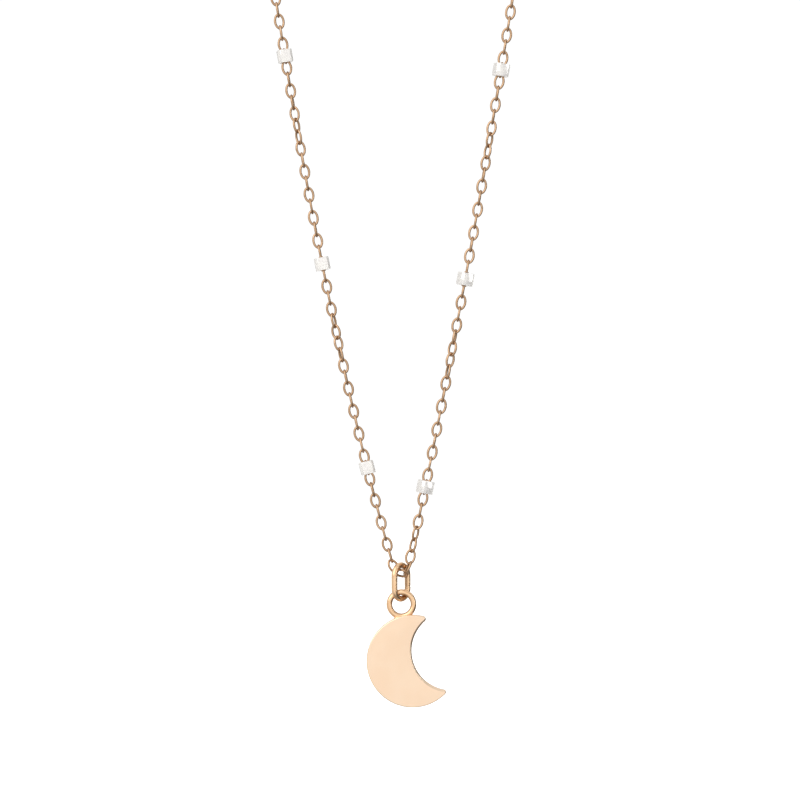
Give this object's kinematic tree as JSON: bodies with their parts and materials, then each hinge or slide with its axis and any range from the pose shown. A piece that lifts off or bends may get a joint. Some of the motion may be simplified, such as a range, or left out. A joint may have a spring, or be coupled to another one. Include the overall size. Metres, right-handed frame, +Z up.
{
  "type": "pendant necklace",
  "caption": "Fine cable-chain necklace with small cube beads fixed along it, a trigger clasp, and a crescent-moon plate that hangs on it by two rings.",
  "frame": {"origin": "middle of the flat back of the clasp's palm, the point the hanging necklace is held by", "axes": "+Z up, from the pendant towards the clasp; +X to the right as the front is looked at; -Y is the front, so the chain's plane is XZ"},
  "size_m": [0.0525, 0.0044, 0.1993],
  "materials": {
    "rose_gold": "polished",
    "rose_gold_chain": "polished wire",
    "white_silver": "diamond-cut facets",
    "spring_steel": "satin"
  },
  "bodies": {
    "upper_chain": {"clasp_body": "rose_gold", "clasp_rivet": "rose_gold", "clasp_spring": "spring_steel", "left_bead_7": "white_silver", "left_chain_top": "rose_gold_chain", "right_bead_7": "white_silver", "right_chain_top": "rose_gold_chain"},
    "left_run_01": {"left_bead_6": "white_silver", "left_chain_01": "rose_gold_chain"},
    "right_run_01": {"right_bead_6": "white_silver", "right_chain_01": "rose_gold_chain"},
    "left_run_02": {"left_chain_02": "rose_gold_chain"},
    "right_run_02": {"right_chain_02": "rose_gold_chain"},
    "left_run_03": {"left_bead_5": "white_silver", "left_chain_03": "rose_gold_chain"},
    "right_run_03": {"right_bead_5": "white_silver", "right_chain_03": "rose_gold_chain"},
    "left_run_04": {"left_chain_04": "rose_gold_chain"},
    "right_run_04": {"right_chain_04": "rose_gold_chain"},
    "left_run_05": {"left_bead_4": "white_silver", "left_chain_05": "rose_gold_chain"},
    "right_run_05": {"right_bead_4": "white_silver", "right_chain_05": "rose_gold_chain"},
    "left_run_06": {"left_chain_06": "rose_gold_chain"},
    "right_run_06": {"right_chain_06": "rose_gold_chain"},
    "left_run_07": {"left_bead_3": "white_silver", "left_chain_07": "rose_gold_chain"},
    "right_run_07": {"right_bead_3": "white_silver", "right_chain_07": "rose_gold_chain"},
    "left_run_08": {"left_chain_08": "rose_gold_chain"},
    "right_run_08": {"right_chain_08": "rose_gold_chain"},
    "left_run_09": {"left_bead_2": "white_silver", "left_chain_09": "rose_gold_chain"},
    "right_run_09": {"right_bead_2": "white_silver", "right_chain_09": "rose_gold_chain"},
    "left_run_10": {"left_chain_10": "rose_gold_chain"},
    "right_run_10": {"right_chain_10": "rose_gold_chain"},
    "left_run_11": {"left_bead_1": "white_silver", "left_chain_11": "rose_gold_chain"},
    "right_run_11": {"right_bead_1": "white_silver", "right_chain_11": "rose_gold_chain"},
    "left_run_12": {"left_chain_12": "rose_gold_chain"},
    "right_run_12": {"right_chain_12": "rose_gold_chain"},
    "apex_link": {"apex_chain_link": "rose_gold_chain"},
    "oval_ring": {"oval_ring": "rose_gold"},
    "moon": {"moon_eye_ring": "rose_gold", "moon_plate": "rose_gold"},
    "clasp_lever": {"clasp_lever": "rose_gold"},
    "clasp_ring": {"clasp_ring": "rose_gold"},
    "end_ring": {"end_ring": "rose_gold"}
  },
  "joints": [
    {"name": "left_fold_01", "type": "hinge", "parent": "upper_chain", "child": "left_run_01", "pos_m": [-0.02231, -0.0008, -0.03021], "axis": [0.9998, 0, 0.0214], "range_deg": [-40, 40]},
    {"name": "right_fold_01", "type": "hinge", "parent": "upper_chain", "child": "right_run_01", "pos_m": [0.02809, -0.0008, -0.02913], "axis": [0.9998, 0, 0.0214], "range_deg": [-40, 40]},
    {"name": "left_fold_02", "type": "hinge", "parent": "left_run_01", "child": "left_run_02", "pos_m": [-0.02089, -0.0008, -0.04332], "axis": [-0.9997, 0, -0.0232], "range_deg": [-40, 40]},
    {"name": "right_fold_02", "type": "hinge", "parent": "right_run_01", "child": "right_run_02", "pos_m": [0.02647, -0.0008, -0.04222], "axis": [-0.9997, 0, -0.0232], "range_deg": [-40, 40]},
    {"name": "left_fold_03", "type": "hinge", "parent": "left_run_02", "child": "left_run_03", "pos_m": [-0.01939, -0.0008, -0.05642], "axis": [0.9997, 0, 0.0253], "range_deg": [-40, 40]},
    {"name": "right_fold_03", "type": "hinge", "parent": "right_run_02", "child": "right_run_03", "pos_m": [0.02479, -0.0008, -0.05531], "axis": [0.9997, 0, 0.0253], "range_deg": [-40, 40]},
    {"name": "left_fold_04", "type": "hinge", "parent": "left_run_03", "child": "left_run_04", "pos_m": [-0.01779, -0.0008, -0.06952], "axis": [-0.9996, 0, -0.0278], "range_deg": [-40, 40]},
    {"name": "right_fold_04", "type": "hinge", "parent": "right_run_03", "child": "right_run_04", "pos_m": [0.02303, -0.0008, -0.06838], "axis": [-0.9996, 0, -0.0278], "range_deg": [-40, 40]},
    {"name": "left_fold_05", "type": "hinge", "parent": "left_run_04", "child": "left_run_05", "pos_m": [-0.01608, -0.0008, -0.0826], "axis": [0.9995, 0, 0.0308], "range_deg": [-40, 40]},
    {"name": "right_fold_05", "type": "hinge", "parent": "right_run_04", "child": "right_run_05", "pos_m": [0.0212, -0.0008, -0.08145], "axis": [0.9995, 0, 0.0308], "range_deg": [-40, 40]},
    {"name": "left_fold_06", "type": "hinge", "parent": "left_run_05", "child": "left_run_06", "pos_m": [-0.01425, -0.0008, -0.09566], "axis": [-0.9994, 0, -0.0344], "range_deg": [-40, 40]},
    {"name": "right_fold_06", "type": "hinge", "parent": "right_run_05", "child": "right_run_06", "pos_m": [0.01929, -0.0008, -0.0945], "axis": [-0.9994, 0, -0.0344], "range_deg": [-40, 40]},
    {"name": "left_fold_07", "type": "hinge", "parent": "left_run_06", "child": "left_run_07", "pos_m": [-0.01228, -0.0008, -0.1087], "axis": [0.9992, 0, 0.0391], "range_deg": [-40, 40]},
    {"name": "right_fold_07", "type": "hinge", "parent": "right_run_06", "child": "right_run_07", "pos_m": [0.01729, -0.0008, -0.10754], "axis": [0.9992, 0, 0.0391], "range_deg": [-40, 40]},
    {"name": "left_fold_08", "type": "hinge", "parent": "left_run_07", "child": "left_run_08", "pos_m": [-0.01015, -0.0008, -0.12172], "axis": [-0.999, 0, -0.0445], "range_deg": [-40, 40]},
    {"name": "right_fold_08", "type": "hinge", "parent": "right_run_07", "child": "right_run_08", "pos_m": [0.01519, -0.0008, -0.12059], "axis": [-0.999, 0, -0.0445], "range_deg": [-40, 40]},
    {"name": "left_fold_09", "type": "hinge", "parent": "left_run_08", "child": "left_run_09", "pos_m": [-0.00783, -0.0008, -0.13469], "axis": [0.9988, 0, 0.0497], "range_deg": [-40, 40]},
    {"name": "right_fold_09", "type": "hinge", "parent": "right_run_08", "child": "right_run_09", "pos_m": [0.01297, -0.0008, -0.13366], "axis": [0.9988, 0, 0.0497], "range_deg": [-40, 40]},
    {"name": "left_fold_10", "type": "hinge", "parent": "left_run_09", "child": "left_run_10", "pos_m": [-0.00528, -0.0008, -0.14756], "axis": [-0.9986, 0, -0.0538], "range_deg": [-40, 40]},
    {"name": "right_fold_10", "type": "hinge", "parent": "right_run_09", "child": "right_run_10", "pos_m": [0.01064, -0.0008, -0.1467], "axis": [-0.9986, 0, -0.0538], "range_deg": [-40, 40]},
    {"name": "left_fold_11", "type": "hinge", "parent": "left_run_10", "child": "left_run_11", "pos_m": [-0.00249, -0.0008, -0.16029], "axis": [0.9984, 0, 0.0559], "range_deg": [-40, 40]},
    {"name": "right_fold_11", "type": "hinge", "parent": "right_run_10", "child": "right_run_11", "pos_m": [0.00817, -0.0008, -0.1597], "axis": [0.9984, 0, 0.0559], "range_deg": [-40, 40]},
    {"name": "left_fold_12", "type": "hinge", "parent": "left_run_11", "child": "left_run_12", "pos_m": [0.00061, -0.0008, -0.17282], "axis": [-0.9997, 0, -0.0264], "range_deg": [-40, 40]},
    {"name": "right_fold_12", "type": "hinge", "parent": "right_run_11", "child": "right_run_12", "pos_m": [0.00556, -0.0008, -0.17269], "axis": [-0.9997, 0, -0.0264], "range_deg": [-40, 40]},
    {"name": "apex_fold", "type": "hinge", "parent": "left_run_12", "child": "apex_link", "pos_m": [0.00264, -0.00052, -0.17972], "axis": [0.9924, 0, -0.1231], "range_deg": [-8, 8]},
    {"name": "oval_ring_sway", "type": "hinge", "parent": "apex_link", "child": "oval_ring", "pos_m": [0.00328, -0.0008, -0.17919], "axis": [0, 1, 0], "range_deg": [-8, 8]},
    {"name": "moon_nod", "type": "hinge", "parent": "oval_ring", "child": "moon", "pos_m": [0.00333, -0.0008, -0.18219], "axis": [1, 0, 0], "range_deg": [-25, 25]},
    {"name": "clasp_lever_hinge", "type": "hinge", "parent": "upper_chain", "child": "clasp_lever", "pos_m": [0.0011, -0.0008, -0.00162], "axis": [0, -1, 0], "range_deg": [0, 22], "deforming": ["clasp_spring"]},
    {"name": "clasp_ring_roll", "type": "hinge", "parent": "upper_chain", "child": "clasp_ring", "pos_m": [-0.00384, -0.0008, 0], "axis": [1, 0, 0], "range_deg": [-18, 18]},
    {"name": "end_ring_roll", "type": "hinge", "parent": "upper_chain", "child": "end_ring", "pos_m": [0.00785, -0.0008, 0], "axis": [1, 0, 0], "range_deg": [-20, 20]}
  ],
  "couplings": [
    {"joint": "right_fold_01", "follows": "left_fold_01", "ratio": 1},
    {"joint": "right_fold_02", "follows": "left_fold_02", "ratio": 1},
    {"joint": "right_fold_03", "follows": "left_fold_03", "ratio": 1},
    {"joint": "right_fold_04", "follows": "left_fold_04", "ratio": 1},
    {"joint": "right_fold_05", "follows": "left_fold_05", "ratio": 1},
    {"joint": "right_fold_06", "follows": "left_fold_06", "ratio": 1},
    {"joint": "right_fold_07", "follows": "left_fold_07", "ratio": 1},
    {"joint": "right_fold_08", "follows": "left_fold_08", "ratio": 1},
    {"joint": "right_fold_09", "follows": "left_fold_09", "ratio": 1},
    {"joint": "right_fold_10", "follows": "left_fold_10", "ratio": 1},
    {"joint": "right_fold_11", "follows": "left_fold_11", "ratio": 1},
    {"joint": "right_fold_12", "follows": "left_fold_12", "ratio": 1}
  ]
}
